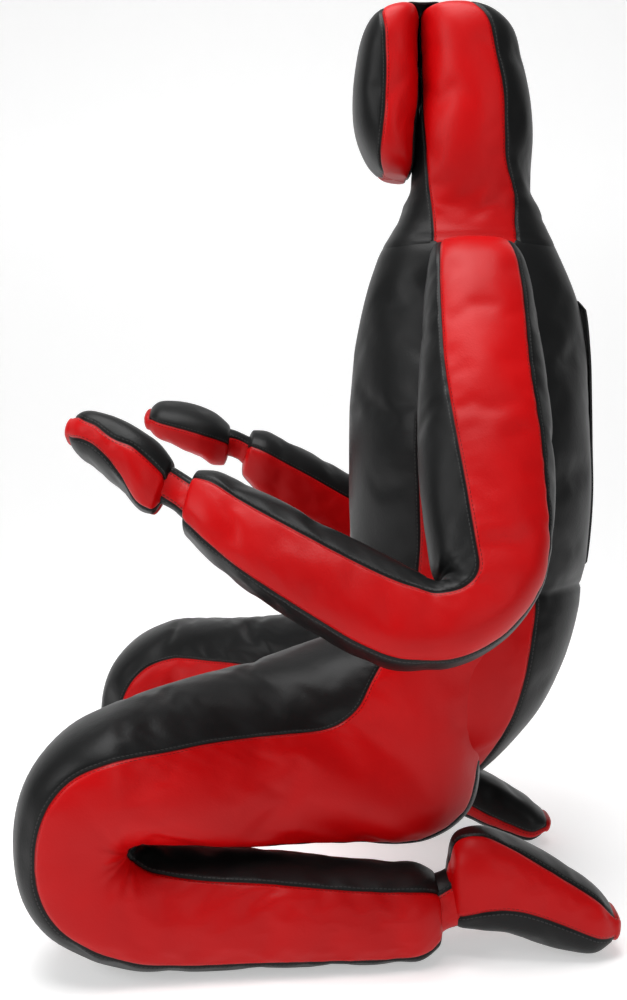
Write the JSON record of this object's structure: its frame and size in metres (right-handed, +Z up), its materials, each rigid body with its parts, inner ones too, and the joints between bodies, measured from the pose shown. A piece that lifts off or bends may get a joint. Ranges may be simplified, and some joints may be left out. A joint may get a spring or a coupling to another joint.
{
  "type": "grappling dummy",
  "caption": "Kneeling stuffed grappling dummy with block head, bent arms, mitten hands and folded legs; panels sewn in two colours.",
  "frame": {"origin": "on the floor, at the middle of the outline seen from above", "axes": "+Z up; the dummy faces -Y and its left side is at +X"},
  "size_m": [0.6982, 0.607, 1.008],
  "materials": {
    "black_cover": "satin coated fabric",
    "red_cover": "satin coated fabric",
    "stuffing": "packed shredded textile",
    "strap": "woven webbing"
  },
  "bodies": {
    "pelvis": {"pelvis_filling": "stuffing", "pelvis_front_panel": "black_cover", "pelvis_back_panel": "black_cover", "pelvis_gussets": "red_cover"},
    "torso": {"torso_filling": "stuffing", "torso_front_panel": "black_cover", "torso_back_panel": "black_cover", "torso_left_gusset": "red_cover", "torso_right_gusset": "red_cover", "back_strap": "strap", "waist_bend": "black_cover"},
    "head": {"head_filling": "stuffing", "head_black_panels": "black_cover", "head_red_gussets": "red_cover", "neck_bend": "black_cover"},
    "face_pad": {"face_pad_filling": "stuffing", "face_panel": "black_cover", "face_pad_band": "red_cover"},
    "left_upper_arm": {"left_upper_arm_filling": "stuffing", "left_upper_arm_black_panels": "black_cover", "left_upper_arm_red_gussets": "red_cover", "left_shoulder_bend": "black_cover"},
    "left_forearm": {"left_forearm_filling": "stuffing", "left_forearm_black_panels": "black_cover", "left_forearm_red_gussets": "red_cover", "left_elbow_bend": "red_cover"},
    "left_hand": {"left_hand_filling": "stuffing", "left_hand_black_panels": "black_cover", "left_hand_red_band": "red_cover", "left_wrist_bend": "red_cover"},
    "left_leg": {"left_leg_filling": "stuffing", "left_leg_black_panels": "black_cover", "left_leg_red_gussets": "red_cover", "left_hip_bend": "black_cover"},
    "left_foot": {"left_foot_filling": "stuffing", "left_foot_black_panels": "black_cover", "left_foot_red_band": "red_cover", "left_ankle_bend": "black_cover"},
    "right_upper_arm": {"right_upper_arm_filling": "stuffing", "right_upper_arm_black_panels": "black_cover", "right_upper_arm_red_gussets": "red_cover", "right_shoulder_bend": "black_cover"},
    "right_forearm": {"right_forearm_filling": "stuffing", "right_forearm_black_panels": "black_cover", "right_forearm_red_gussets": "red_cover", "right_elbow_bend": "red_cover"},
    "right_hand": {"right_hand_filling": "stuffing", "right_hand_black_panels": "black_cover", "right_hand_red_band": "red_cover", "right_wrist_bend": "red_cover"},
    "right_leg": {"right_leg_filling": "stuffing", "right_leg_black_panels": "black_cover", "right_leg_red_gussets": "red_cover", "right_hip_bend": "black_cover"},
    "right_foot": {"right_foot_filling": "stuffing", "right_foot_black_panels": "black_cover", "right_foot_red_band": "red_cover", "right_ankle_bend": "black_cover"}
  },
  "joints": [
    {"name": "waist_bend_joint", "type": "hinge", "parent": "pelvis", "child": "torso", "pos_m": [0, 0.155, 0.346], "axis": [-1, 0, 0], "range_deg": [-6, 7], "deforming": ["waist_bend"]},
    {"name": "neck_nod", "type": "hinge", "parent": "torso", "child": "head", "pos_m": [0, 0.16, 0.747], "axis": [-1, 0, 0], "range_deg": [-11, 11], "deforming": ["neck_bend"]},
    {"name": "face_pad_lift", "type": "hinge", "parent": "head", "child": "face_pad", "pos_m": [0, 0.1015, 1.0015], "axis": [-1, 0, 0], "range_deg": [0, 14]},
    {"name": "left_shoulder_swing", "type": "hinge", "parent": "torso", "child": "left_upper_arm", "pos_m": [0.118, 0.155, 0.729], "axis": [-0.8988, 0, -0.4384], "range_deg": [-10, 28], "deforming": ["left_shoulder_bend"]},
    {"name": "left_elbow_flex", "type": "hinge", "parent": "left_upper_arm", "child": "left_forearm", "pos_m": [0.28633, 0.097, 0.38386], "axis": [-0.8988, 0, -0.4384], "range_deg": [-20, 25], "deforming": ["left_elbow_bend"]},
    {"name": "left_wrist_flex", "type": "hinge", "parent": "left_forearm", "child": "left_hand", "pos_m": [0.24688, -0.147, 0.46475], "axis": [-0.8988, 0, -0.4384], "range_deg": [-25, 25], "deforming": ["left_wrist_bend"]},
    {"name": "left_hip_turn", "type": "hinge", "parent": "pelvis", "child": "left_leg", "pos_m": [0.1, 0.06, 0.19], "axis": [0, 0, -1], "range_deg": [-1.5, 6], "deforming": ["left_hip_bend"]},
    {"name": "left_ankle_flex", "type": "hinge", "parent": "left_leg", "child": "left_foot", "pos_m": [0.213, 0.114, 0.05], "axis": [1, 0, 0], "range_deg": [-10, 12], "deforming": ["left_ankle_bend"]},
    {"name": "right_shoulder_swing", "type": "hinge", "parent": "torso", "child": "right_upper_arm", "pos_m": [-0.12051, 0.19525, 0.74786], "axis": [-0.8988, 0, 0.4384], "range_deg": [-10, 28], "deforming": ["right_shoulder_bend"]},
    {"name": "right_elbow_flex", "type": "hinge", "parent": "right_upper_arm", "child": "right_forearm", "pos_m": [-0.28757, 0.12055, 0.40532], "axis": [-0.8988, 0, 0.4384], "range_deg": [-20, 25], "deforming": ["right_elbow_bend"]},
    {"name": "right_wrist_flex", "type": "hinge", "parent": "right_forearm", "child": "right_hand", "pos_m": [-0.24349, -0.11929, 0.4957], "axis": [-0.8988, 0, 0.4384], "range_deg": [-25, 25], "deforming": ["right_wrist_bend"]},
    {"name": "right_hip_turn", "type": "hinge", "parent": "pelvis", "child": "right_leg", "pos_m": [-0.1, 0.06, 0.19], "axis": [0, 0, 1], "range_deg": [-1.5, 6], "deforming": ["right_hip_bend"]},
    {"name": "right_ankle_flex", "type": "hinge", "parent": "right_leg", "child": "right_foot", "pos_m": [-0.159, 0.114, 0.05], "axis": [1, 0, 0], "range_deg": [-10, 12], "deforming": ["right_ankle_bend"]}
  ]
}
